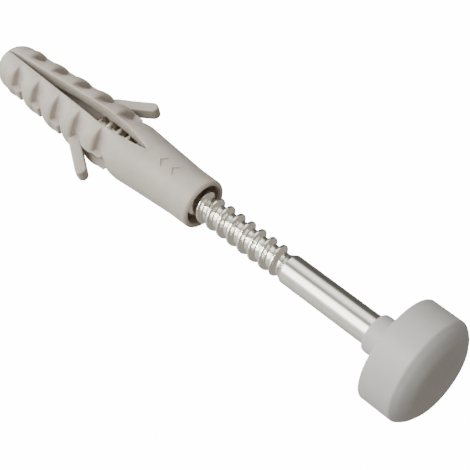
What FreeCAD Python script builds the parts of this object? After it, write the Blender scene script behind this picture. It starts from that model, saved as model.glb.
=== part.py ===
import os

import FreeCAD
import Part
import Sketcher

# Wall anchor: a slotted nylon expansion plug with two hinged anti-rotation
# wings, a wood screw part way in, and a collar washer with a clip-on domed cap.
#
# Frame, in millimetres: the origin is the centre of the plug's mouth, in the
# plane of the wall. +X points out of the wall, along the screw, and the slot
# that splits the plug lies in the XZ plane, so the legs are at +Y and -Y.

doc = FreeCAD.newDocument("WallAnchor")
sheet = doc.addObject("Spreadsheet::Sheet", "Dims")

DIMENSIONS = [
    # plug: lengths are counted from the mouth, into the wall
    ("plug_length", 48.0),
    ("mouth_radius", 4.2),
    ("mouth_land", 4.0),
    ("mouth_bore_radius", 3.33),
    ("mouth_bore_depth", 1.6),
    ("funnel_depth", 7.5),
    ("rim_round", 0.35),
    ("leg_start", 12.5),
    ("leg_start_radius", 4.77),
    ("shoulder_depth", 16.8),
    ("shoulder_radius", 5.1),
    ("widest_depth", 24.4),
    ("widest_radius", 5.25),
    ("tip_depth", 44.6),
    ("tip_radius", 4.0),
    ("nose_radius", 1.5),
    ("nose_curve", 3.6),
    # slot between the legs
    ("slot_start", 11.7),
    ("slot_peak_depth", 22.0),
    ("slot_half_width", 1.3),
    ("slot_tip_half_width", 0.05),
    ("channel_lead", 0.5),
    ("channel_past_point", 3.35),
    ("channel_inset", 0.3),
    ("channel_step", 0.05),
    ("channel_flatten", 0.15),
    ("channel_tip_depth", 0.3),
    # saw teeth
    ("first_tooth", 18.7),
    ("tooth_pitch", 5.35),
    ("tooth_depth", 1.15),
    ("tooth_fade", 1.35),
    ("tooth_ramp", 2.8),
    ("tooth_run_out", 0.15),
    ("tooth_undercut", 1.8),
    ("tooth_bend", 0.1),
    ("tooth_bend_rise", 0.5),
    ("tooth_swell", 1.3),
    ("tooth_swell_rise", 0.98),
    ("beak_overlap", 0.2),
    ("beak_root", 0.25),
    ("beak_width", 2.3),
    ("beak_sink", 0.12),
    ("cheek_width", 3.6),
    ("cheek_sink", 0.3),
    # wings
    ("wing_hinge_depth", 25.4),
    ("wing_hinge_radius", 4.6),
    ("wing_length", 6.4),
    ("wing_thickness", 1.9),
    ("wing_width", 2.3),
    ("wing_splay", 32.0),
    # wood screw
    ("thread_radius", 2.5),
    ("thread_pitch", 2.2),
    ("core_radius", 1.75),
    ("thread_root_width", 1.35),
    ("thread_crest_width", 0.5),
    ("shank_radius", 2.4),
    ("screw_point", 27.35),
    ("point_length", 3.6),
    ("thread_end", 16.7),
    ("thread_sink", 0.15),
    ("neck_length", 1.5),
    ("head_radius", 4.85),
    ("head_top", 43.0),
    ("head_land", 0.4),
    ("recess_span", 4.6),
    ("recess_width", 1.1),
    ("recess_depth", 1.9),
    # collar washer and cap
    ("hub_back", 34.2),
    ("hub_radius", 3.1),
    ("hub_round", 0.45),
    ("flange_back", 38.4),
    ("flange_thickness", 3.2),
    ("flange_radius", 6.7),
    ("cap_radius", 8.45),
    ("cap_edge", 43.9),
    ("cap_shoulder", 45.95),
    ("cap_shoulder_radius", 6.0),
    ("cap_shoulder_centre", 41.1),
    ("cap_front", 46.55),
    ("cap_back_round", 0.3),
    # clearances between pieces that move
    ("thread_clearance", 0.1),
    ("wing_clearance", 0.15),
    ("washer_clearance", 0.15),
    ("cap_clearance", 0.1),
    ("head_clearance", 0.2),
]
TOOTH_COUNT = 5
WING_TOOTH = 1
CHEEK_TOOTH = 0

for row, (alias, number) in enumerate(DIMENSIONS, start=1):
    sheet.set(f"A{row}", alias)
    sheet.set(f"B{row}", str(number))
    sheet.setAlias(f"B{row}", alias)
doc.recompute()


class Size:
    """A length together with the spreadsheet expression that it comes from."""

    def __init__(self, value, text):
        self.value = float(value)
        self.text = text

    def __add__(self, other):
        other = as_size(other)
        return Size(self.value + other.value, f"({self.text} + {other.text})")

    def __sub__(self, other):
        other = as_size(other)
        return Size(self.value - other.value, f"({self.text} - {other.text})")

    def __mul__(self, other):
        other = as_size(other)
        return Size(self.value * other.value, f"({self.text} * {other.text})")

    def __truediv__(self, other):
        other = as_size(other)
        return Size(self.value / other.value, f"({self.text} / {other.text})")

    def __neg__(self):
        return Size(-self.value, f"(0 - {self.text})")


def as_size(thing):
    return thing if isinstance(thing, Size) else Size(thing, repr(float(thing)))


def dim(alias):
    return Size(sheet.get(alias), f"Dims.{alias}")


# ---------------------------------------------------------------- sketch tools

def new_body(label, placement=None):
    body = doc.addObject("PartDesign::Body", label)
    body.Label = label
    body.Placement = placement or FreeCAD.Placement()
    return body


def origin_plane(body, role):
    return next(item for item in body.Origin.OriginFeatures if item.Role == role)


def new_sketch(body, name, role="XY_Plane", offset=None):
    sketch = body.newObject("Sketcher::SketchObject", name)
    sketch.AttachmentSupport = [(origin_plane(body, role), "")]
    sketch.MapMode = "FlatFace"
    if offset:
        sketch.AttachmentOffset = offset
    return sketch


def pin_point(sketch, edge, end, point):
    """Hold one end of an edge at a place measured from the sketch's origin."""
    for kind, size in zip(("DistanceX", "DistanceY"), point):
        size = as_size(size)
        if abs(size.value) < 1e-9 and size.text == "0.0":
            on_axis = Sketcher.Constraint("PointOnObject", edge, end, -2 if kind == "DistanceX" else -1)
            sketch.addConstraint(on_axis)
            continue
        index = sketch.addConstraint(Sketcher.Constraint(kind, -1, 1, edge, end, size.value))
        sketch.setExpression(f"Constraints[{index}]", size.text)


def vector(point):
    return FreeCAD.Vector(as_size(point[0]).value, as_size(point[1]).value, 0)


def add_loop(sketch, corners, arcs=None):
    """Draw a closed outline through its corners.

    arcs gives, for the edge that leaves corner i, the arc's centre as a pair
    whose unknown coordinate is None: the arc's two ends settle it.
    """
    arcs = arcs or {}
    first = sketch.GeometryCount
    count = len(corners)
    for i, corner in enumerate(corners):
        start, end = vector(corner), vector(corners[(i + 1) % count])
        if i in arcs:
            middle = arc_middle(start, end, arcs[i])
            sketch.addGeometry(Part.Arc(start, middle, end), False)
        else:
            sketch.addGeometry(Part.LineSegment(start, end), False)
    for i, corner in enumerate(corners):
        here, after = first + i, first + (i + 1) % count
        start_at, end_at = edge_ends(sketch, here, vector(corner))
        after_start, _ = edge_ends(sketch, after, vector(corners[(i + 1) % count]))
        sketch.addConstraint(Sketcher.Constraint("Coincident", here, end_at, after, after_start))
        pin_point(sketch, here, start_at, corner)
    for i, centre in arcs.items():
        known = 0 if centre[0] is not None else 1
        kind = ("DistanceX", "DistanceY")[known]
        size = as_size(centre[known])
        edge = first + i
        index = sketch.addConstraint(Sketcher.Constraint(kind, -1, 1, edge, 3, size.value))
        sketch.setExpression(f"Constraints[{index}]", size.text)


def arc_middle(start, end, centre):
    """A point on the shorter arc whose centre has one known coordinate."""
    if centre[0] is not None:
        cx = as_size(centre[0]).value
        rise = (start.x - cx) ** 2 - (end.x - cx) ** 2 + start.y ** 2 - end.y ** 2
        cy = rise / (2 * (start.y - end.y))
    else:
        cy = as_size(centre[1]).value
        run = (start.y - cy) ** 2 - (end.y - cy) ** 2 + start.x ** 2 - end.x ** 2
        cx = run / (2 * (start.x - end.x))
    middle = FreeCAD.Vector(cx, cy, 0)
    radius = (start - middle).Length
    outward = (start + end) * 0.5 - middle
    return middle + outward.normalize() * radius


def edge_ends(sketch, edge, start):
    """Which end numbers of an edge are its start and end along the outline."""
    first = sketch.getPoint(edge, 1)
    return (1, 2) if (first - start).Length < 1e-6 else (2, 1)


def feature(body, kind, name, sketch, **settings):
    item = body.newObject(f"PartDesign::{kind}", name)
    item.Profile = sketch
    for key, value in settings.items():
        setattr(item, key, value)
    sketch.Visibility = False
    return item


def revolve(body, name, sketch, kind="Revolution", angle="360", midplane=False):
    item = feature(body, kind, name, sketch, ReferenceAxis=(sketch, ["H_Axis"]), Midplane=midplane)
    item.setExpression("Angle", angle)
    return item


def through_pocket(body, name, sketch):
    return feature(body, "Pocket", name, sketch, Type="ThroughAll", Midplane=True)


def shape_of(item):
    doc.recompute()
    return item.Shape


def must_cut(body, item, before):
    """A pocket or groove has to take material away."""
    after = shape_of(item).Volume
    if not after < before - 1e-3:
        raise RuntimeError(f"{body.Label}: {item.Name} cuts nothing")
    return after


# ---------------------------------------------------------------- plug

plug_length = dim("plug_length")
leg_start = dim("leg_start")
bore_radius = dim("thread_radius") + dim("thread_clearance")

# outside of the plug as (depth, radius) stations joined by straight cones
OUTSIDE = [
    (Size(0, "0.0"), dim("mouth_radius")),
    (dim("mouth_land"), dim("mouth_radius")),
    (leg_start, dim("leg_start_radius")),
    (dim("shoulder_depth"), dim("shoulder_radius")),
    (dim("widest_depth"), dim("widest_radius")),
    (dim("tip_depth"), dim("tip_radius")),
]


def radius_at(depth):
    """The plug's outside radius at a depth below the mouth."""
    for (near, near_radius), (far, far_radius) in zip(OUTSIDE, OUTSIDE[1:]):
        if depth.value <= far.value:
            share = (depth - near) / (far - near)
            return near_radius + (far_radius - near_radius) * share
    raise ValueError(f"no outside station at depth {depth.value}")


def slot_loop(sketch):
    """Lens-shaped gap between the legs: widest at its peak, shut at the tip."""
    peak = -dim("slot_peak_depth")
    wide, shut = dim("slot_half_width"), dim("slot_tip_half_width")
    start, end = -dim("slot_start"), -(plug_length + 1)
    corners = [
        (start, 0.0),
        (peak, wide),
        (-plug_length, shut),
        (end, shut),
        (end, -shut),
        (-plug_length, -shut),
        (peak, -wide),
    ]
    add_loop(sketch, corners, {0: (peak, None), 6: (peak, None)})


def make_sleeve():
    body = new_body("plug_sleeve")
    profile = new_sketch(body, "SleeveProfile")
    rim = dim("rim_round")
    mouth, bore = dim("mouth_radius"), dim("mouth_bore_radius")
    corners = [
        (0.0, bore + rim),
        (0.0, mouth - rim),
        (-rim, mouth),
        (-dim("mouth_land"), mouth),
        (-leg_start, dim("leg_start_radius")),
        (-leg_start, bore_radius),
        (-dim("funnel_depth"), bore_radius),
        (-dim("mouth_bore_depth"), bore),
        (-rim, bore),
    ]
    add_loop(profile, corners, {1: (-rim, None), 8: (-rim, None)})
    blank = revolve(body, "SleeveBlank", profile)
    volume = shape_of(blank).Volume
    slot = new_sketch(body, "SleeveSlot")
    slot_loop(slot)
    must_cut(body, through_pocket(body, "SleeveSlotCut", slot), volume)
    return body


def make_leg(label, placement):
    """One half-round leg with its saw teeth, modelled on the +Y side."""
    body = new_body(label, placement)
    outline = new_sketch(body, "LegOutline")
    tip, nose = dim("tip_depth"), dim("nose_radius")
    corners = [
        (-leg_start, 0.0),
        (-leg_start, dim("leg_start_radius")),
        (-dim("shoulder_depth"), dim("shoulder_radius")),
        (-dim("widest_depth"), dim("widest_radius")),
        (-tip, dim("tip_radius")),
        (-plug_length, nose),
        (-plug_length, 0.0),
    ]
    add_loop(outline, corners, {4: (None, dim("tip_radius") - dim("nose_curve"))})
    blank = revolve(body, "LegBlank", outline, angle="180", midplane=True)
    volume = shape_of(blank).Volume

    # each tooth: a wall that faces the mouth, and a floor that climbs back to the outside;
    # the floor turns about an axis set off from the plug's, so it fades out near the slot
    fade = dim("tooth_fade")
    scoops = new_sketch(body, "ToothScoops", offset=FreeCAD.Placement())
    scoops.setExpression("AttachmentOffset.Base.y", (-fade).text)
    for number in range(TOOTH_COUNT):
        edge = dim("first_tooth") + dim("tooth_pitch") * number
        wall, run_out = edge + dim("tooth_undercut"), edge - dim("tooth_ramp")
        floor = radius_at(wall) - dim("tooth_depth") + fade
        rise = radius_at(run_out) + fade + dim("tooth_run_out")
        above = dim("widest_radius") + fade + 1
        corners = [
            (-wall, floor),
            (-wall, above),
            (-run_out, above),
            (-run_out, rise),
            (dim("tooth_swell") - edge, floor + dim("tooth_swell_rise")),
            (dim("tooth_bend") - edge, floor + dim("tooth_bend_rise")),
        ]
        add_loop(scoops, corners)
    scoop_cut = revolve(body, "ToothScoopCut", scoops, kind="Groove", angle="180", midplane=True)
    volume = must_cut(body, scoop_cut, volume)

    # along the middle of the leg each tooth overhangs its scoop as a beak
    for number in range(TOOTH_COUNT):
        if number == WING_TOOTH:
            continue
        edge = dim("first_tooth") + dim("tooth_pitch") * number
        back = edge + dim("tooth_undercut") + dim("beak_overlap")
        cheek = number == CHEEK_TOOTH
        under = dim("tooth_depth") + dim("beak_root")
        top = dim("cheek_sink" if cheek else "beak_sink")
        beak = new_sketch(body, f"Beak{number}")
        corners = [
            (-back, radius_at(back) - under),
            (-back, radius_at(back) - top),
            (-edge, radius_at(edge) - top),
            (-edge, radius_at(edge) - under),
        ]
        add_loop(beak, corners)
        solid = feature(body, "Pad", f"BeakSolid{number}", beak, Midplane=True)
        solid.setExpression("Length", "Dims.cheek_width" if cheek else "Dims.beak_width")
    volume = shape_of(body.Tip).Volume

    # pocket that the wing folds into, with a round seat for the wing's root
    pocket = new_sketch(body, "WingPocket")
    seat = dim("wing_thickness") / 2 + dim("wing_clearance")
    hinge_x, hinge_y = -dim("wing_hinge_depth"), dim("wing_hinge_radius")
    far_end = hinge_x + dim("wing_length") + seat
    above = dim("widest_radius") + 2
    corners = [
        (hinge_x - seat, above),
        (hinge_x - seat, hinge_y),
        (hinge_x, hinge_y - seat),
        (far_end, hinge_y - seat),
        (far_end, above),
    ]
    add_loop(pocket, corners, {1: (hinge_x, None)})
    pocket_cut = feature(body, "Pocket", "WingPocketCut", pocket, Type="Length", Midplane=True)
    pocket_cut.setExpression("Length", "Dims.wing_width + Dims.wing_clearance * 2")
    volume = must_cut(body, pocket_cut, volume)

    slot = new_sketch(body, "LegSlot")
    slot_loop(slot)
    volume = must_cut(body, through_pocket(body, "LegSlotCut", slot), volume)

    # channel for the screw: round near the mouth, then a step and a flattening taper
    channel = new_sketch(body, "ScrewChannel")
    mouth_end = dim("channel_lead") - leg_start
    taper_start = dim("screw_point") + dim("channel_past_point")
    corners = [
        (mouth_end, 0.0),
        (mouth_end, bore_radius),
        (-taper_start, bore_radius),
        (-taper_start, 0.0),
    ]
    add_loop(channel, corners)
    channel_cut = revolve(body, "ScrewChannelCut", channel, kind="Groove")
    volume = must_cut(body, channel_cut, volume)
    round_end = new_sketch(body, "ChannelRoundEnd", "YZ_Plane")
    round_end.setExpression("AttachmentOffset.Base.z", (dim("channel_inset") - taper_start).text)
    step = dim("channel_step")
    add_ellipse(round_end, bore_radius - step, bore_radius - dim("channel_flatten"))
    flat_end = new_sketch(body, "ChannelFlatEnd", "YZ_Plane")
    flat_end.setExpression("AttachmentOffset.Base.z", (-plug_length - dim("channel_lead")).text)
    add_ellipse(flat_end, bore_radius - step, dim("channel_tip_depth"))
    taper = feature(body, "SubtractiveLoft", "ChannelTaper", round_end)
    taper.Sections = [flat_end]
    taper.Ruled = True
    must_cut(body, taper, volume)
    return body


def add_ellipse(sketch, half_width, half_height):
    """An ellipse about the sketch's origin, wide along the sketch's second axis."""
    wide = FreeCAD.Vector(0, half_width.value, 0)
    low = FreeCAD.Vector(half_height.value, 0, 0)
    sketch.addGeometry(Part.Ellipse(wide, low, FreeCAD.Vector(0, 0, 0)), False)
    sketch.exposeInternalGeometry(0)


def make_wing(label, placement):
    """A flat bar with round ends, splayed out from its hinge towards the mouth."""
    body = new_body(label, placement)
    bar = new_sketch(body, "WingBar")
    bar.setExpression("AttachmentOffset.Base.x", (-dim("wing_hinge_depth")).text)
    bar.setExpression("AttachmentOffset.Base.y", dim("wing_hinge_radius").text)
    bar.setExpression("AttachmentOffset.Rotation.Angle", "Dims.wing_splay")
    half, length = dim("wing_thickness") / 2, dim("wing_length")
    corners = [
        (0.0, half),
        (-half, 0.0),
        (0.0, -half),
        (length, -half),
        (length + half, 0.0),
        (length, half),
    ]
    add_loop(bar, corners, {0: (0.0, None), 1: (0.0, None), 3: (length, None), 4: (length, None)})
    solid = feature(body, "Pad", "WingSolid", bar, Midplane=True)
    solid.setExpression("Length", "Dims.wing_width")
    return body


# ---------------------------------------------------------------- wood screw

def make_screw():
    """Countersunk screw: point, threaded core, thicker plain shank, head."""
    body = new_body("wood_screw")
    profile = new_sketch(body, "ScrewProfile")
    core, shank, head = dim("core_radius"), dim("shank_radius"), dim("head_radius")
    point, top = -dim("screw_point"), dim("head_top")
    land = top - dim("head_land")
    corners = [
        (point, 0.0),
        (point + dim("point_length"), core),
        (dim("thread_end"), core),
        (dim("thread_end") + dim("neck_length"), shank),
        (land - (head - shank), shank),
        (land, head),
        (top, head),
        (top, 0.0),
    ]
    add_loop(profile, corners)
    blank = revolve(body, "ScrewBlank", profile)
    volume = shape_of(blank).Volume

    # right-hand ridge from the point's shoulder to the plain shank
    ridge = new_sketch(body, "ThreadRidge")
    start = point + dim("point_length") + dim("thread_root_width")
    foot, crest = dim("thread_root_width") / 2, dim("thread_crest_width") / 2
    sunk = core - dim("thread_sink")
    corners = [
        (start - foot, sunk),
        (start - crest, dim("thread_radius")),
        (start + crest, dim("thread_radius")),
        (start + foot, sunk),
    ]
    add_loop(ridge, corners)
    thread = body.newObject("PartDesign::AdditiveHelix", "Thread")
    thread.Profile = ridge
    thread.ReferenceAxis = (ridge, ["H_Axis"])
    thread.Mode = "pitch-height-angle"
    thread.setExpression("Pitch", "Dims.thread_pitch")
    thread.setExpression("Height", (dim("thread_end") - start).text)
    ridge.Visibility = False
    if not shape_of(thread).Volume > volume:
        raise RuntimeError("the thread adds nothing to the screw")
    volume = thread.Shape.Volume

    # cross recess for the driver
    recess = new_sketch(body, "DriverRecess", "YZ_Plane")
    recess.setExpression("AttachmentOffset.Base.z", top.text)
    span, width = dim("recess_span") / 2, dim("recess_width") / 2
    corners = [
        (span, -width), (span, width), (width, width), (width, span),
        (-width, span), (-width, width), (-span, width), (-span, -width),
        (-width, -width), (-width, -span), (width, -span), (width, -width),
    ]
    add_loop(recess, corners)
    cut = feature(body, "Pocket", "DriverRecessCut", recess, Type="Length")
    cut.setExpression("Length", "Dims.recess_depth")
    must_cut(body, cut, volume)
    return body


# ---------------------------------------------------------------- washer, cap

def make_washer():
    """Collar that the screw's head seats in: a thin hub behind a wide flange."""
    body = new_body("collar_washer")
    profile = new_sketch(body, "WasherProfile")
    bore = dim("shank_radius") + dim("washer_clearance")
    back = dim("flange_back")
    front = back + dim("flange_thickness")
    # the countersink runs beside the head's cone, a clearance away
    cone_start = dim("head_top") - dim("head_land") - dim("head_radius") - dim("head_clearance")
    corners = [
        (dim("hub_back"), bore),
        (dim("hub_back"), dim("hub_radius") - dim("hub_round")),
        (dim("hub_back") + dim("hub_round"), dim("hub_radius")),
        (back, dim("hub_radius")),
        (back, dim("flange_radius")),
        (front, dim("flange_radius")),
        (front, front - cone_start),
        (cone_start + bore, bore),
    ]
    add_loop(profile, corners, {1: (dim("hub_back") + dim("hub_round"), None)})
    revolve(body, "WasherSolid", profile)
    return body


def make_cap():
    """Domed cap that clips over the washer's flange and hides the head."""
    body = new_body("cover_cap")
    profile = new_sketch(body, "CapProfile")
    inside = dim("flange_radius") + dim("cap_clearance")
    ceiling = dim("head_top") + dim("head_clearance")
    back, outside, small = dim("flange_back"), dim("cap_radius"), dim("cap_back_round")
    corners = [
        (back, inside),
        (back, outside - small),
        (back + small, outside),
        (dim("cap_edge"), outside),
        (dim("cap_shoulder"), dim("cap_shoulder_radius")),
        (dim("cap_front"), 0.0),
        (ceiling, 0.0),
        (ceiling, inside),
    ]
    shoulder = (dim("cap_shoulder_centre"), None)
    add_loop(profile, corners, {1: (back + small, None), 3: shoulder})
    revolve(body, "CapSolid", profile)
    return body


half_turn = FreeCAD.Placement(FreeCAD.Vector(), FreeCAD.Rotation(FreeCAD.Vector(1, 0, 0), 180))
pieces = [
    make_sleeve(),
    make_leg("upper_leg", None),
    make_leg("lower_leg", half_turn),
    make_wing("upper_wing", None),
    make_wing("lower_wing", half_turn),
    make_screw(),
    make_washer(),
    make_cap(),
]

doc.recompute()
for item in doc.Objects:
    if "Invalid" in item.State or "Error" in item.State:
        raise RuntimeError(f"{item.Name} failed: {item.State}")
os.makedirs("parts", exist_ok=True)
for body in pieces:
    if body.Shape.isNull() or not body.Shape.isValid() or len(body.Shape.Solids) != 1:
        raise RuntimeError(f"{body.Label} isn't one valid solid")
for body in pieces:
    body.Shape.exportStep(f"parts/{body.Label}.step")
    print(f"{body.Label}: {body.Shape.Volume:.2f} cubic mm")
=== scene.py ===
import math

import bmesh
import bpy
import numpy as np
from mathutils import Matrix, Vector


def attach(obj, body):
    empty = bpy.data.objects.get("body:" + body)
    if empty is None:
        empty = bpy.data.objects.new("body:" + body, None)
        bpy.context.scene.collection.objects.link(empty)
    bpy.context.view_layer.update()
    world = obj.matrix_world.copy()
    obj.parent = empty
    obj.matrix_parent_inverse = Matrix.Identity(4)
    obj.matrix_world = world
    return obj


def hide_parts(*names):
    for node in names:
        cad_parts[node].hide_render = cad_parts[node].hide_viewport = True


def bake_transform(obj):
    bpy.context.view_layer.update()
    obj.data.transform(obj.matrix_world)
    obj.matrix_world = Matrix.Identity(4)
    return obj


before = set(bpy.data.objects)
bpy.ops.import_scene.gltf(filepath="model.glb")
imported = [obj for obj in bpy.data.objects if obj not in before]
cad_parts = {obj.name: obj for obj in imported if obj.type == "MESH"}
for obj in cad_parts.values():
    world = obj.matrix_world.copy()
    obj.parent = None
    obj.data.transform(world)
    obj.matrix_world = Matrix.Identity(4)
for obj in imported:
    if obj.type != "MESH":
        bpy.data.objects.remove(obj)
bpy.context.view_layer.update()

MM = 0.001
FULL_TURN = 2 * math.pi


# ---------------------------------------------------------------- meshes

def finish_mesh(name, bm, material, sharp=38):
    """Turn a bmesh in millimetres into an object with smooth shading and crisp creases."""
    bmesh.ops.remove_doubles(bm, verts=bm.verts, dist=1e-5)
    bmesh.ops.recalc_face_normals(bm, faces=bm.faces)
    mesh = bpy.data.meshes.new(name)
    bm.to_mesh(mesh)
    bm.free()
    mesh.transform(Matrix.Scale(MM, 4))
    mesh.shade_smooth()
    mesh.set_sharp_from_angle(angle=math.radians(sharp))
    mesh.materials.append(material)
    obj = bpy.data.objects.new(name, mesh)
    bpy.context.scene.collection.objects.link(obj)
    return obj


def skin(bm, rings, wrap=True, start_cap=True, end_cap=True):
    """Quads between rings that all have the same number of points."""
    rows = [[bm.verts.new(point) for point in ring] for ring in rings]
    count = len(rows[0])
    last = count if wrap else count - 1
    for near, far in zip(rows, rows[1:]):
        for k in range(last):
            after = (k + 1) % count
            bm.faces.new((near[k], near[after], far[after], far[k]))
    if start_cap:
        bm.faces.new(rows[0])
    if end_cap:
        bm.faces.new(rows[-1])
    return rows


def rounded(points, radii, steps=5):
    """A polyline with each corner of a given size eased into a small curve."""
    out = []
    for k, (x, y) in enumerate(points):
        size = radii[k]
        if size <= 0 or k in (0, len(points) - 1):
            out.append((x, y))
            continue
        corner = Vector((x, y))
        into = Vector(points[k - 1]) - corner
        away = Vector(points[k + 1]) - corner
        enters = corner + into.normalized() * min(size, into.length * 0.49)
        leaves = corner + away.normalized() * min(size, away.length * 0.49)
        for j in range(steps + 1):
            t = j / steps
            point = enters * (1 - t) ** 2 + corner * 2 * t * (1 - t) + leaves * t * t
            out.append((point.x, point.y))
    return out


def turned(name, profile, radii, material, closed, segments=128):
    """A solid of revolution about X from (x, radius) points, in millimetres."""
    if closed:
        looped = [profile[-1]] + list(profile) + [profile[0]]
        line = rounded(looped, [0] + list(radii) + [0])[1:-1]
    else:
        line = rounded(profile, radii)
    bm = bmesh.new()
    rows = []
    for k in range(segments):
        angle = FULL_TURN * k / segments
        c, s = math.cos(angle), math.sin(angle)
        rows.append([bm.verts.new((x, r * c, r * s)) for x, r in line])
    count = len(line)
    last = count if closed else count - 1
    for near, far in zip(rows, rows[1:] + rows[:1]):
        for j in range(last):
            after = (j + 1) % count
            bm.faces.new((near[j], near[after], far[after], far[j]))
    return finish_mesh(name, bm, material)


# ---------------------------------------------------------------- shaders

def new_material(name):
    material = bpy.data.materials.new(name)
    material.use_nodes = True
    tree = material.node_tree
    shader = next(n for n in tree.nodes if n.type == "BSDF_PRINCIPLED")
    return material, tree, shader


def node(tree, kind, inputs=None, **settings):
    made = tree.nodes.new(kind)
    for key, value in settings.items():
        setattr(made, key, value)
    for key, value in (inputs or {}).items():
        made.inputs[key].default_value = value
    return made


def noise(tree, scale, detail=3.0, stretch=(1, 1, 1)):
    """Noise in object space, measured in features per metre."""
    where = node(tree, "ShaderNodeTexCoord")
    mapping = node(tree, "ShaderNodeMapping", {"Scale": stretch})
    texture = node(tree, "ShaderNodeTexNoise", {"Scale": scale, "Detail": detail, "Roughness": 0.6})
    tree.links.new(where.outputs["Object"], mapping.inputs["Vector"])
    tree.links.new(mapping.outputs["Vector"], texture.inputs["Vector"])
    return texture.outputs["Fac"]


def ramp(tree, source, stops):
    """Colour ramp from (position, colour) stops; a plain number is a grey."""
    made = node(tree, "ShaderNodeValToRGB")
    elements = made.color_ramp.elements
    for k, (position, colour) in enumerate(stops):
        element = elements[k] if k < 2 else elements.new(position)
        element.position = position
        if isinstance(colour, (int, float)):
            colour = (colour, colour, colour)
        element.color = (*colour, 1.0)
    tree.links.new(source, made.inputs["Fac"])
    return made.outputs["Color"]


def mixed(tree, factor, first, second, mode="MIX"):
    """Mix two colours; either may be a socket or a plain colour."""
    made = node(tree, "ShaderNodeMix", data_type="RGBA", blend_type=mode)
    for socket, value in ((0, factor), (6, first), (7, second)):
        if isinstance(value, bpy.types.NodeSocket):
            tree.links.new(value, made.inputs[socket])
        elif socket == 0:
            made.inputs[socket].default_value = value
        else:
            made.inputs[socket].default_value = (*value, 1.0)
    return made.outputs[2]


def bump(tree, shader, height, strength, distance):
    """Fine relief; the distance is in metres."""
    made = node(tree, "ShaderNodeBump", {"Strength": strength, "Distance": distance})
    tree.links.new(height, made.inputs["Height"])
    tree.links.new(made.outputs["Normal"], shader.inputs["Normal"])


# colours of moulded nylon: outside and its paler clouds; and painted recess light, a colour painted
# below the outside in place of the light and shade there
NYLON = (0.425, 0.393, 0.340)
NYLON_PAINTED_RECESS_LIGHT = (0.46, 0.41, 0.375)
NYLON_PALE = (0.475, 0.443, 0.388)


def make_nylon():
    """Moulded nylon: satin, faintly mottled, with painted recess light: browner where a cut goes
    below the outside, a colour painted in place of the light and shade there.
    """
    material, tree, shader = new_material("nylon")
    cloudy = ramp(tree, noise(tree, 260, 4), [(0.3, NYLON), (0.7, NYLON_PALE)])
    painted_recess_light = node(tree, "ShaderNodeAttribute", attribute_name="painted_recess_light")
    # painted recess light: colour painted into cuts, slot faces and the channel in place of their
    # light and shade
    colour = mixed(tree, painted_recess_light.outputs["Fac"], cloudy, NYLON_PAINTED_RECESS_LIGHT)
    tree.links.new(colour, shader.inputs["Base Color"])
    rough = ramp(tree, noise(tree, 900, 3), [(0.3, 0.36), (0.7, 0.5)])
    tree.links.new(rough, shader.inputs["Roughness"])
    shader.inputs["Subsurface Weight"].default_value = 0.5
    shader.inputs["Subsurface Radius"].default_value = (1.0, 0.78, 0.68)
    shader.inputs["Subsurface Scale"].default_value = 0.0014
    bump(tree, shader, noise(tree, 2600, 4), 0.12, 0.00006)
    return material


ZINC_DULL = (0.86, 0.845, 0.75)
ZINC_BRIGHT = (0.95, 0.935, 0.85)


def make_steel(name, rolled):
    """Bright zinc plate: drawing lines along the shank, a hammered look on the rolled thread."""
    material, tree, shader = new_material(name)
    tint = ramp(tree, noise(tree, 700, 4), [(0.3, ZINC_DULL), (0.7, ZINC_BRIGHT)])
    tree.links.new(tint, shader.inputs["Base Color"])
    shader.inputs["Metallic"].default_value = 1.0
    lines = noise(tree, 1500, 5, stretch=(0.06, 1, 1))
    rough = ramp(tree, lines, [(0.3, 0.09), (0.7, 0.17)])
    tree.links.new(rough, shader.inputs["Roughness"])
    if rolled:
        bump(tree, shader, noise(tree, 1800, 2), 0.5, 0.0002)
    else:
        bump(tree, shader, lines, 0.10, 0.00003)
    return material


GREY = (0.405, 0.41, 0.397)
GREY_PALE = (0.44, 0.443, 0.430)


def make_grey_plastic():
    """Fine-grained neutral grey moulding for the washer and the cap."""
    material, tree, shader = new_material("grey_plastic")
    cloudy = ramp(tree, noise(tree, 300, 4), [(0.3, GREY), (0.7, GREY_PALE)])
    tree.links.new(cloudy, shader.inputs["Base Color"])
    rough = ramp(tree, noise(tree, 1200, 3), [(0.3, 0.40), (0.7, 0.52)])
    tree.links.new(rough, shader.inputs["Roughness"])
    bump(tree, shader, noise(tree, 5200, 3), 0.10, 0.00004)
    return material


nylon = make_nylon()
drawn_steel = make_steel("drawn_steel", rolled=False)
rolled_steel = make_steel("rolled_steel", rolled=True)
grey_plastic = make_grey_plastic()


# ---------------------------------------------------------------- plug

# All lengths are millimetres; a depth is measured into the wall from the plug's mouth.
SPLIT = -11.7                       # x where the sleeve ends and the legs begin
PLUG_LENGTH = 48.0
TIP_DEPTH = 44.6                    # where the cone gives way to the rounded nose
NOSE_CENTRE = 44.572
NOSE_RADIUS = 3.6
NOSE_FLAT = 0.4
OUTSIDE_X = [0.0, 4.0, 12.5, 16.8, 24.4, 44.6]
OUTSIDE_R = [4.2, 4.2, 4.77, 5.1, 5.25, 4.0]
MOUTH_RADIUS = 4.2
SPLIT_RADIUS = 4.7163
BORE = 2.6

# the slot between the legs: an arc near the sleeve, then a straight taper
SLOT_WIDEST = 22.0
SLOT_HALF = 1.3
SLOT_HALF_TIP = 0.05
SLOT_ARC = 41.45

# the screw channel: round, then flattening towards the tip
CHANNEL_ROUND = 30.0
CHANNEL_STEP = 0.15
CHANNEL_TIP = 0.3
CHANNEL_TAPER_FROM = 29.7
CHANNEL_TAPER_OVER = 18.8

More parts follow.
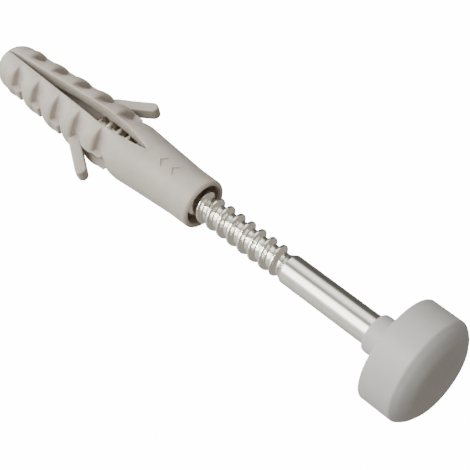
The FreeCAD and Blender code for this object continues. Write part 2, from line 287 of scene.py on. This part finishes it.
# scooped teeth: how deep a scoop cuts at each distance from its edge
EDGES = [18.7, 24.05, 29.4, 34.75, 40.1]
UNDERCUT = 1.8
RAMP = 2.9
SCOOP_AT = [-2.8, -1.5, -0.6, 0.0, 0.6, 1.2, 1.65, 1.95]
SCOOP_CUT = [0.0, 0.16, 0.38, 0.66, 0.95, 1.12, 1.05, 0.0]
BELLY = 0.22                        # how far a tooth swells between two scoops
BELLY_AT = 3.6
BELLY_HALF = 1.7
SCOOP_TOP = math.radians(81)        # angle from the leg's crown where a scoop ends
SCOOP_EASE = math.radians(40)
BEAK_HALF = 1.15
BEAK_SINK = 0.12
BEAK_OVERLAP = 0.2
CHEEK_HALF = 1.8
CHEEK_SINK = 0.3
STEEPEST = 1.2                      # radians; flat tops are not followed past this angle

# the wing, its hinge and the pocket that it folds into
WING_TOOTH = 1
HINGE = (-25.4, 4.6)
SPLAY = math.radians(32.0)
WING_HALF = 0.95
WING_LENGTH = 6.4
WING_HALF_WIDTH = 1.15
POCKET_FLOOR = 3.5
POCKET_ENDS = (17.9, 25.2)
POCKET_HALF = 1.3


def outside(depth):
    """Outer radius of the plain plug at each depth, with the rounded nose."""
    cone = np.interp(depth, OUTSIDE_X, OUTSIDE_R)
    past = np.maximum(depth - NOSE_CENTRE, 0)
    nose = NOSE_FLAT + np.sqrt(np.maximum(NOSE_RADIUS ** 2 - past ** 2, 0.0))
    return np.where(depth > TIP_DEPTH, np.minimum(cone, nose), cone)


def slot_half(depth):
    """Half of the gap between the legs at one depth."""
    if depth < SLOT_WIDEST:
        arc = math.sqrt(SLOT_ARC ** 2 - (SLOT_WIDEST - depth) ** 2)
        return max(arc - (SLOT_ARC - SLOT_HALF), 0.0)
    share = (depth - SLOT_WIDEST) / (PLUG_LENGTH - SLOT_WIDEST)
    return SLOT_HALF + (SLOT_HALF_TIP - SLOT_HALF) * share


def leg_radius(depth, angle):
    """Outer radius of a leg with its scoops, beaks and wing pocket."""
    plain = outside(depth)
    radius = plain.copy()
    across = np.abs(plain * np.sin(angle))
    fade = np.clip((SCOOP_TOP - np.abs(angle)) / SCOOP_EASE, 0, 1)
    fade = fade * fade * (3 - 2 * fade)
    for number, edge in enumerate(EDGES):
        wall = edge + UNDERCUT
        cut = np.interp(depth - edge, SCOOP_AT, SCOOP_CUT) * fade
        belly = np.clip(1 - ((depth - edge - BELLY_AT) / BELLY_HALF) ** 2, 0, 1)
        belly = belly * (depth < TIP_DEPTH - 1)
        radius = radius - cut + BELLY * belly * fade
        if number == WING_TOOTH:
            continue
        half, sink = (CHEEK_HALF, CHEEK_SINK) if number == 0 else (BEAK_HALF, BEAK_SINK)
        top = (plain - sink) / np.cos(np.minimum(np.abs(angle), STEEPEST))
        beak = (depth > edge) & (depth < wall + BEAK_OVERLAP) & (across < half)
        radius = np.where(beak, np.maximum(radius, np.minimum(top, plain)), radius)
    along = (depth > POCKET_ENDS[0]) & (depth < POCKET_ENDS[1])
    pocket = along & (across < POCKET_HALF)
    floor = POCKET_FLOOR / np.cos(np.minimum(np.abs(angle), STEEPEST))
    return np.where(pocket, np.minimum(radius, floor), radius)


def softened(depth, angle, dimple):
    """The leg's outer radius with every moulded edge eased by about 0.1 mm."""
    total = np.zeros_like(angle)
    for step, weight in ((-0.10, 1), (-0.05, 2), (0.0, 3), (0.05, 2), (0.10, 1)):
        for turn, share in ((-0.014, 1), (0.0, 2), (0.014, 1)):
            near = leg_radius(np.full_like(angle, depth + step), angle + turn)
            total += near * weight * share
    radius = total / 36.0
    if dimple:
        # a small ring mark beside the nose
        away = np.hypot((depth - 45.2) / 0.75, np.abs(angle + 1.15) * 3.8 / 0.75)
        ring = np.clip(1 - np.abs(away - 0.8) / 0.35, 0, 1) * (depth > 45.0)
        radius = radius - 0.16 * ring
    return radius


def leg_stations():
    """Depths of the rings: even steps, and close together at each wall and beak."""
    depths = list(np.arange(-SPLIT, PLUG_LENGTH, 0.42))
    close = (-0.13, -0.09, -0.05, -0.02, 0.02, 0.05, 0.09, 0.13)
    marks = [mark for edge in EDGES for mark in (edge, edge + UNDERCUT)]
    for mark in marks + list(POCKET_ENDS):
        depths = [d for d in depths if abs(d - mark) > 0.2]
        depths += [mark + step for step in close]
    depths += [edge - RAMP + 0.1 for edge in EDGES]
    depths += [TIP_DEPTH, PLUG_LENGTH - 0.3, PLUG_LENGTH - 0.1, PLUG_LENGTH]
    return sorted(set(round(float(d), 4) for d in depths))


# points of a cross-section lie at these distances from the leg's crown, closest
# together at the sides of the beaks, the pocket and the cheek
ACROSS = [
    0.0, 0.35, 0.7, 0.95, 1.05, 1.10, 1.15, 1.20,
    1.25, 1.38, 1.55, 1.68, 1.75, 1.80, 1.85, 1.95,
]
PAST_ACROSS = 15
LONG_EDGE = 0.22
CHANNEL_POINTS = 24


def channel_size(depth):
    """Half height and half width of the screw channel at one depth."""
    tall = BORE
    if depth >= CHANNEL_ROUND:
        stepped = BORE - CHANNEL_STEP
        share = (depth - CHANNEL_TAPER_FROM) / CHANNEL_TAPER_OVER
        tall = stepped - (stepped - CHANNEL_TIP) * share
    wide = float(np.interp(depth, [CHANNEL_ROUND, 36.0, PLUG_LENGTH], [BORE, 1.5, 0.6]))
    return tall, wide


def eased_edge(corner, inner, inward, half):
    """A long edge where the outside meets a slot face, cut back at both sides."""
    corner = Vector(corner)
    along = Vector(inner) - corner
    cut = corner + along.normalized() * min(LONG_EDGE, along.length * 0.5)
    face = Vector((half, corner.y + inward * LONG_EDGE))
    middle = (cut + face) / 4 + corner / 2
    return tuple(cut), tuple(middle), tuple(face)


def leg_ring(depth, dimple):
    """One closed cross-section (outside, slot face, channel, slot face) and the weights of its
    painted recess light.
    """
    plain = float(outside(np.array(depth)))
    half = slot_half(depth)
    limit = math.acos(min(half / plain, 1.0))
    known = [math.asin(min(z / plain, 0.98)) for z in ACROSS if z < plain * 0.75]
    known += [known[-1]] * (len(ACROSS) - len(known))
    known = [min(angle, limit * 0.8) for angle in known]
    rest = [known[-1] + (limit - known[-1]) * k / PAST_ACROSS for k in range(1, PAST_ACROSS + 1)]
    right = np.array(known + rest)
    angles = np.concatenate([-right[::-1], right[1:]])
    radius = softened(depth, angles, dimple)
    # painted recess light: weight of the painted colour, by how far the surface lies below the
    # plain outside
    painted_recess_light = np.clip((plain - radius) / 0.9, 0, 1)
    outer = [(r * math.cos(a), r * math.sin(a)) for r, a in zip(radius, angles)]
    low_cut, low_middle, low_face = eased_edge(outer[0], outer[1], 1, half)
    high_cut, high_middle, high_face = eased_edge(outer[-1], outer[-2], -1, half)
    outer[0], outer[-1] = low_cut, high_cut
    tall, wide = channel_size(depth)
    start = math.asin(min(half / tall, 0.999))
    channel = []
    for k in range(CHANNEL_POINTS + 1):
        angle = start + (math.pi - 2 * start) * k / CHANNEL_POINTS
        channel.append((tall * math.sin(angle), wide * math.cos(angle)))
    ring = [low_face, low_middle] + outer + [high_middle, high_face]
    shade = [painted_recess_light[0], painted_recess_light[0]] + list(painted_recess_light) + [painted_recess_light[-1], painted_recess_light[-1]]
    ring += [(half, (high_face[1] + channel[0][1]) / 2)] + channel
    ring += [(half, (low_face[1] + channel[-1][1]) / 2)]
    # painted recess light inside the slot: a little on the slot faces, more in the screw channel
    shade += [0.1] + [0.45] * len(channel) + [0.1]
    return [(-depth, y, z) for y, z in ring], shade


def make_leg(name, flip):
    """A half-round leg lofted from its cross-sections."""
    bm = bmesh.new()
    # per-point weight of the painted recess light
    layer = bm.verts.layers.float.new("painted_recess_light")
    rings, shades = zip(*(leg_ring(depth, flip < 0) for depth in leg_stations()))
    placed = [[(x, y * flip, z * flip) for x, y, z in ring] for ring in rings]
    rows = skin(bm, placed)
    for row, shade in zip(rows, shades):
        for vertex, value in zip(row, shade):
            vertex[layer] = float(value)
    leg = finish_mesh(name, bm, nylon, sharp=50)
    side = name.split("_")[0]
    leg_body = side + "_leg"
    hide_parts(leg_body)
    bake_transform(leg)
    return leg


def make_wing(name, flip):
    """Bar with rounded edges; its root is set into the leg at the hinge."""
    half, length = WING_HALF, WING_LENGTH
    outline = []
    for k in range(13):
        angle = math.pi / 2 + math.pi * k / 12
        outline.append((half * math.cos(angle), half * math.sin(angle)))
    outline += [(length * k / 14, -half) for k in range(1, 14)]
    for k in range(13):
        angle = -math.pi / 2 + math.pi * k / 12
        outline.append((length + half * math.cos(angle), half * math.sin(angle)))
    outline += [(length * k / 14, half) for k in range(13, 0, -1)]
    centre = Vector((length / 2, 0))
    # (how far the outline draws in, share of the half width), from one side to the other
    edge = [(0.22, 1.0), (0.1, 0.97), (0.03, 0.9), (0.0, 0.78), (0.0, 0.3)]
    layers = [(inset, -share) for inset, share in edge] + edge[::-1]
    cos, sin = math.cos(SPLAY), math.sin(SPLAY)
    rings = []
    for inset, z in layers:
        ring = []
        for u, v in outline:
            u = centre.x + (u - centre.x) * (1 - inset / (length / 2 + half))
            v = v * (1 - inset / half)
            if v > 0 and z > 0.5:
                v -= 0.10 * min(max((u - 1.5) / 1.0, 0), 1)
            x, y = HINGE[0] + u * cos - v * sin, HINGE[1] + u * sin + v * cos
            ring.append((x, y * flip, z * WING_HALF_WIDTH * flip))
        rings.append(ring)
    bm = bmesh.new()
    skin(bm, rings)
    wing = finish_mesh(name, bm, nylon)
    side = name.split("_")[0]
    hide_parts(side + "_wing")
    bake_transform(wing)
    return wing


def make_sleeve():
    """The closed sleeve with its lipped mouth and the bore's lead-in."""
    profile = [
        (0.0, 3.62), (0.0, 3.85), (-0.35, MOUTH_RADIUS), (-4.0, MOUTH_RADIUS),
        (SPLIT, SPLIT_RADIUS), (SPLIT, BORE), (-7.5, BORE), (-1.6, 3.33), (-0.35, 3.33),
    ]
    radii = [0.18, 0.2, 0.25, 0.8, 0, 0, 0.5, 0.5, 0.25]
    sleeve = turned("plug_sleeve_skin", profile, radii, nylon, closed=True)
    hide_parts("plug_sleeve")
    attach(sleeve, "plug")
    return sleeve


SLEEVE_SLOPE = 0.067


def make_marks():
    """Two small raised chevrons on the sleeve that point into the wall."""
    bm = bmesh.new()
    for middle in (-6.4, -8.9):
        for side in (-1, 1):
            rings = []
            for k in range(5):
                t = k / 4
                x, angle = middle + 0.75 * t, math.pi / 2 + 0.19 * t * side
                surface = MOUTH_RADIUS + (-x - 4.0) * SLEEVE_SLOPE
                ring = []
                for dx, lift in ((-0.24, -0.1), (-0.13, 0.17), (0.13, 0.17), (0.24, -0.1)):
                    radius = surface + lift
                    ring.append((x + dx, radius * math.cos(angle), radius * math.sin(angle)))
                rings.append(ring)
            skin(bm, rings)
    marks = finish_mesh("sleeve_marks", bm, nylon)
    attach(marks, "plug")
    return marks


make_sleeve()
make_marks()
make_leg("upper_leg_skin", 1)
make_leg("lower_leg_skin", -1)
make_wing("upper_wing_skin", 1)
make_wing("lower_wing_skin", -1)


# ---------------------------------------------------------------- wood screw

POINT = -27.35
POINT_LENGTH = 3.6
CORE = 1.75
CREST = 2.5
PITCH = 2.2
THREAD_PHASE = -22.4
THREAD_END = 16.7
SHANK = 2.4
SHANK_START = 17.9
HEAD = 4.85
HEAD_TOP = 43.0
HEAD_LAND = 0.4


def core_radius(x):
    """Radius under the thread: the point, the core and the neck up to the shank."""
    places = [POINT, POINT + POINT_LENGTH, THREAD_END, SHANK_START]
    return np.interp(x, places, [0.02, CORE, CORE, SHANK])


# rounded ridge: share of the thread's height at each distance from the crest
RIDGE_AT = [0.0, 0.15, 0.26, 0.35, 0.46, 0.58, 0.68, 0.78, 0.92, 1.10]
RIDGE_UP = [1.0, 0.985, 0.92, 0.78, 0.52, 0.24, 0.08, 0.01, 0.0, 0.0]


def screw_radius(x, offset):
    """Radius at x where the nearest thread crest lies at a distance offset."""
    core = float(core_radius(x))
    fade_in = min(max((x - POINT - 0.5) / 3.4, 0.0), 1.0)
    fade_out = min(max((THREAD_END + 0.15 - x) / 0.9, 0.0), 1.0)
    height = (CREST - CORE) * fade_in ** 0.8 * fade_out
    return core + height * float(np.interp(abs(offset), RIDGE_AT, RIDGE_UP))


def make_screw_body():
    """Point, thread and neck as one grid whose rows follow the helix."""
    bm = bmesh.new()
    segments = 72
    offsets = sorted(set([-a for a in RIDGE_AT[:-1]] + RIDGE_AT))
    turns = int((THREAD_END - THREAD_PHASE) / PITCH) + 6
    grid = []
    for turn in range(-3, turns):
        for offset in offsets:
            row = []
            for k in range(segments + 1):
                angle = FULL_TURN * k / segments
                x = THREAD_PHASE + PITCH * (turn + k / segments) + offset
                x = min(max(x, POINT), SHANK_START)
                radius = screw_radius(x, offset)
                point = (x, radius * math.cos(angle), radius * math.sin(angle))
                row.append(bm.verts.new(point))
            grid.append(row)
    for near, far in zip(grid, grid[1:]):
        for k in range(segments):
            bm.faces.new((near[k], near[k + 1], far[k + 1], far[k]))
    bmesh.ops.remove_doubles(bm, verts=bm.verts, dist=2e-4)
    bmesh.ops.dissolve_degenerate(bm, edges=bm.edges, dist=1e-4)
    loose = [v for v in bm.verts if not v.link_faces]
    bmesh.ops.delete(bm, geom=loose, context="VERTS")
    screw = finish_mesh("screw_thread", bm, rolled_steel, sharp=60)
    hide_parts("wood_screw")
    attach(screw, "screw")
    return screw


def cross_outline():
    """The driver recess seen from the front: one arm, turned four times."""
    half, span = 0.55, 2.3
    arm = [(span, -half), (span, half), (half + 0.25, half + 0.05), (half + 0.05, half + 0.25)]
    outline = []
    for _ in range(4):
        outline += arm
        arm = [(-z, y) for y, z in arm]
    return outline


def rim_edges(bm, ring):
    return [bm.edges.get(pair) for pair in zip(ring, ring[1:] + ring[:1])]


def make_shank():
    """Plain shank, countersunk head and the driver's cross recess."""
    land = HEAD_TOP - HEAD_LAND
    cone = land - (HEAD - SHANK)
    back = SHANK_START - 0.02
    profile = [(back, SHANK - 0.3), (back, SHANK), (cone, SHANK), (land, HEAD), (HEAD_TOP, HEAD)]
    line = rounded(profile, [0, 0.04, 0.5, 0.08, 0], steps=4)[:-1]
    line += [(HEAD_TOP - 0.08, HEAD), (HEAD_TOP - 0.02, HEAD - 0.03), (HEAD_TOP, HEAD - 0.10)]
    segments = 96
    turns = [FULL_TURN * k / segments for k in range(segments)]
    bm = bmesh.new()
    rings = [[(x, r * math.cos(turn), r * math.sin(turn)) for turn in turns] for x, r in line]
    rows = skin(bm, rings, end_cap=False, start_cap=False)
    recess = []
    for depth, scale in ((0.0, 1.0), (0.08, 0.96), (1.2, 0.70), (1.9, 0.34)):
        recess.append([(HEAD_TOP - depth, y * scale, z * scale) for y, z in cross_outline()])
    inner = skin(bm, recess, start_cap=False)
    edges = rim_edges(bm, rows[-1]) + rim_edges(bm, inner[0])
    bmesh.ops.triangle_fill(bm, use_beauty=True, use_dissolve=False, edges=edges)
    shank = finish_mesh("screw_shank", bm, drawn_steel, sharp=35)
    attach(shank, "screw")
    return shank


make_screw_body()
make_shank()


# ---------------------------------------------------------------- washer and cap

FLANGE_BACK = 38.4
FLANGE_FRONT = 41.6
FLANGE_RADIUS = 6.7
HUB_BACK = 34.2
HUB_RADIUS = 3.1
CAP_RADIUS = 8.45
CAP_INSIDE = 6.8
CAP_FLOOR = 43.2


def make_washer():
    """Collar round the shank, and the flange that the cap clips over."""
    bore = SHANK + 0.15
    seat = HEAD_TOP - HEAD_LAND - HEAD - 0.2
    profile = [
        (HUB_BACK, bore), (HUB_BACK, HUB_RADIUS), (FLANGE_BACK, HUB_RADIUS),
        (FLANGE_BACK, FLANGE_RADIUS), (FLANGE_FRONT, FLANGE_RADIUS),
        (FLANGE_FRONT, FLANGE_FRONT - seat), (seat + bore, bore),
    ]
    radii = [0.1, 0.75, 0.12, 0.2, 0.25, 0.1, 0.1]
    washer = turned("collar_washer_skin", profile, radii, grey_plastic, closed=True)
    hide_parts("collar_washer")
    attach(washer, "washer")


def make_cap():
    """Closed cap with a creased shoulder and a slightly domed front."""
    profile = [
        (CAP_FLOOR, 0.0), (CAP_FLOOR, CAP_INSIDE), (FLANGE_BACK, CAP_INSIDE),
        (FLANGE_BACK, CAP_RADIUS), (43.95, CAP_RADIUS), (44.78, 7.80), (45.25, 7.2),
        (45.95, 6.0), (46.26, 4.4), (46.47, 2.3), (46.54, 0.0),
    ]
    radii = [0, 0.4, 0.2, 0.25, 0.28, 0.4, 0.4, 0.8, 0.9, 0.9, 0]
    cap = turned("cover_cap_skin", profile, radii, grey_plastic, closed=False)
    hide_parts("cover_cap")
    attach(cap, "cap")


make_washer()
make_cap()


# ---------------------------------------------------------------- stage, light, camera

WHITE = 14.0                        # bright enough to show as plain white
FLOOR_AT = (-0.03, 0.02, -0.085)
FLOOR_HALF = 0.30


def make_floor():
    """A plain white floor that throws no light on the object and is not mirrored in it."""
    mesh = bpy.data.meshes.new("floor")
    x, y, z = FLOOR_AT
    signs = ((-1, -1), (1, -1), (1, 1), (-1, 1))
    corners = [(x + a * FLOOR_HALF, y + b * FLOOR_HALF, z) for a, b in signs]
    mesh.from_pydata(corners, [], [(0, 1, 2, 3)])
    material, _, shader = new_material("floor_white")
    shader.inputs["Base Color"].default_value = (0.93, 0.93, 0.93, 1)
    shader.inputs["Roughness"].default_value = 0.9
    shader.inputs["Specular IOR Level"].default_value = 0.0
    shader.inputs["Emission Color"].default_value = (1, 1, 1, 1)
    shader.inputs["Emission Strength"].default_value = WHITE
    mesh.materials.append(material)
    floor = bpy.data.objects.new("floor", mesh)
    bpy.context.scene.collection.objects.link(floor)
    floor.visible_diffuse = False
    floor.visible_glossy = False


# brightness of the studio round the screw's axis, by angle from +Y towards +Z
AROUND = [
    (-180, 0.95), (-158, 0.95), (-123, 0.72), (-83, 0.48), (-48, 0.28), (-31, 0.15),
    (-3, 0.10), (23, 0.17), (38, 1.7), (58, 2.3), (76, 1.3), (86, 0.48),
    (100, 0.48), (115, 5.4), (148, 6.2), (163, 1.5), (180, 0.95),
]
STUDIO_TOP = 7.0                    # what a level of 1 in the ramps stands for
AHEAD = (0.40, 0.372, 0.35)         # even light from beyond the cap


def make_studio():
    """Soft boxes and dark flats as a smooth pattern of light, long along the screw."""
    world = bpy.data.worlds.new("studio")
    world.use_nodes = True
    bpy.context.scene.world = world
    tree = world.node_tree
    backdrop = next(n for n in tree.nodes if n.type == "BACKGROUND")
    where = node(tree, "ShaderNodeTexCoord")
    split = node(tree, "ShaderNodeSeparateXYZ")
    tree.links.new(where.outputs["Generated"], split.inputs[0])
    angle = node(tree, "ShaderNodeMath", operation="ARCTAN2")
    tree.links.new(split.outputs["Z"], angle.inputs[0])
    tree.links.new(split.outputs["Y"], angle.inputs[1])
    scaled = node(tree, "ShaderNodeMath", {1: 1 / FULL_TURN, 2: 0.5}, operation="MULTIPLY_ADD")
    tree.links.new(angle.outputs[0], scaled.inputs[0])
    stops = [((a + 180) / 360, level / STUDIO_TOP) for a, level in AROUND]
    around = ramp(tree, scaled.outputs[0], stops)
    ahead = node(tree, "ShaderNodeMath", {1: 0.5, 2: 0.5}, operation="MULTIPLY_ADD")
    tree.links.new(split.outputs["X"], ahead.inputs[0])
    towards_cap = [(0.0, 0.1), (0.28, 0.0), (0.40, 0.22), (0.48, 0.62), (0.56, 1.0)]
    evening = ramp(tree, ahead.outputs[0], towards_cap)
    light = mixed(tree, evening, around, tuple(part / STUDIO_TOP for part in AHEAD))
    warm = mixed(tree, 1.0, light, (1.0, 0.985, 0.95), mode="MULTIPLY")
    tree.links.new(warm, backdrop.inputs["Color"])
    backdrop.inputs["Strength"].default_value = STUDIO_TOP
    # what is seen past the floor's edge is the same white as the floor
    seen = node(tree, "ShaderNodeBackground", {"Color": (1, 1, 1, 1), "Strength": WHITE})
    ray = node(tree, "ShaderNodeLightPath")
    either = node(tree, "ShaderNodeMixShader")
    tree.links.new(ray.outputs["Is Camera Ray"], either.inputs[0])
    tree.links.new(backdrop.outputs[0], either.inputs[1])
    tree.links.new(seen.outputs[0], either.inputs[2])
    output = next(n for n in tree.nodes if n.type == "OUTPUT_WORLD")
    tree.links.new(either.outputs[0], output.inputs["Surface"])


def make_lamp(name, place, size, power):
    """A square soft box that faces the origin."""
    lamp = bpy.data.lights.new(name, "AREA")
    lamp.shape = "SQUARE"
    lamp.size = size
    lamp.energy = power
    obj = bpy.data.objects.new(name, lamp)
    obj.location = Vector(place)
    obj.rotation_euler = (-obj.location).to_track_quat("-Z", "Y").to_euler()
    bpy.context.scene.collection.objects.link(obj)


CAMERA_AZIMUTH = -34.578937         # degrees from +X towards +Y
CAMERA_ELEVATION = 55.234642
CAMERA_TWIST = -13.186930           # degrees about the line of sight
CAMERA_PLACE = (97.22216, -62.81217, 157.21638)
CAMERA_LENS = 97.7


def make_camera():
    """Looks down the screw from the cap's side, with the slot a little off centre."""
    around, above = math.radians(CAMERA_AZIMUTH), math.radians(CAMERA_ELEVATION)
    flat = math.cos(above)
    back = Vector((flat * math.cos(around), flat * math.sin(around), math.sin(above)))
    level = Vector((0, 0, 1)).cross(back).normalized()
    up = Matrix.Rotation(math.radians(CAMERA_TWIST), 3, back) @ back.cross(level)
    right = up.cross(back)
    camera = bpy.data.cameras.new("camera")
    camera.sensor_width = 36
    camera.lens = CAMERA_LENS
    camera.clip_start = 0.01
    camera.clip_end = 5
    obj = bpy.data.objects.new("camera", camera)
    matrix = Matrix((right, up, back)).transposed().to_4x4()
    matrix.translation = Vector(CAMERA_PLACE) * MM
    obj.matrix_world = matrix
    bpy.context.scene.collection.objects.link(obj)
    bpy.context.scene.camera = obj


make_floor()
make_studio()
make_lamp("key", (-0.05, -0.17, 0.36), 0.12, 0.9)
make_camera()
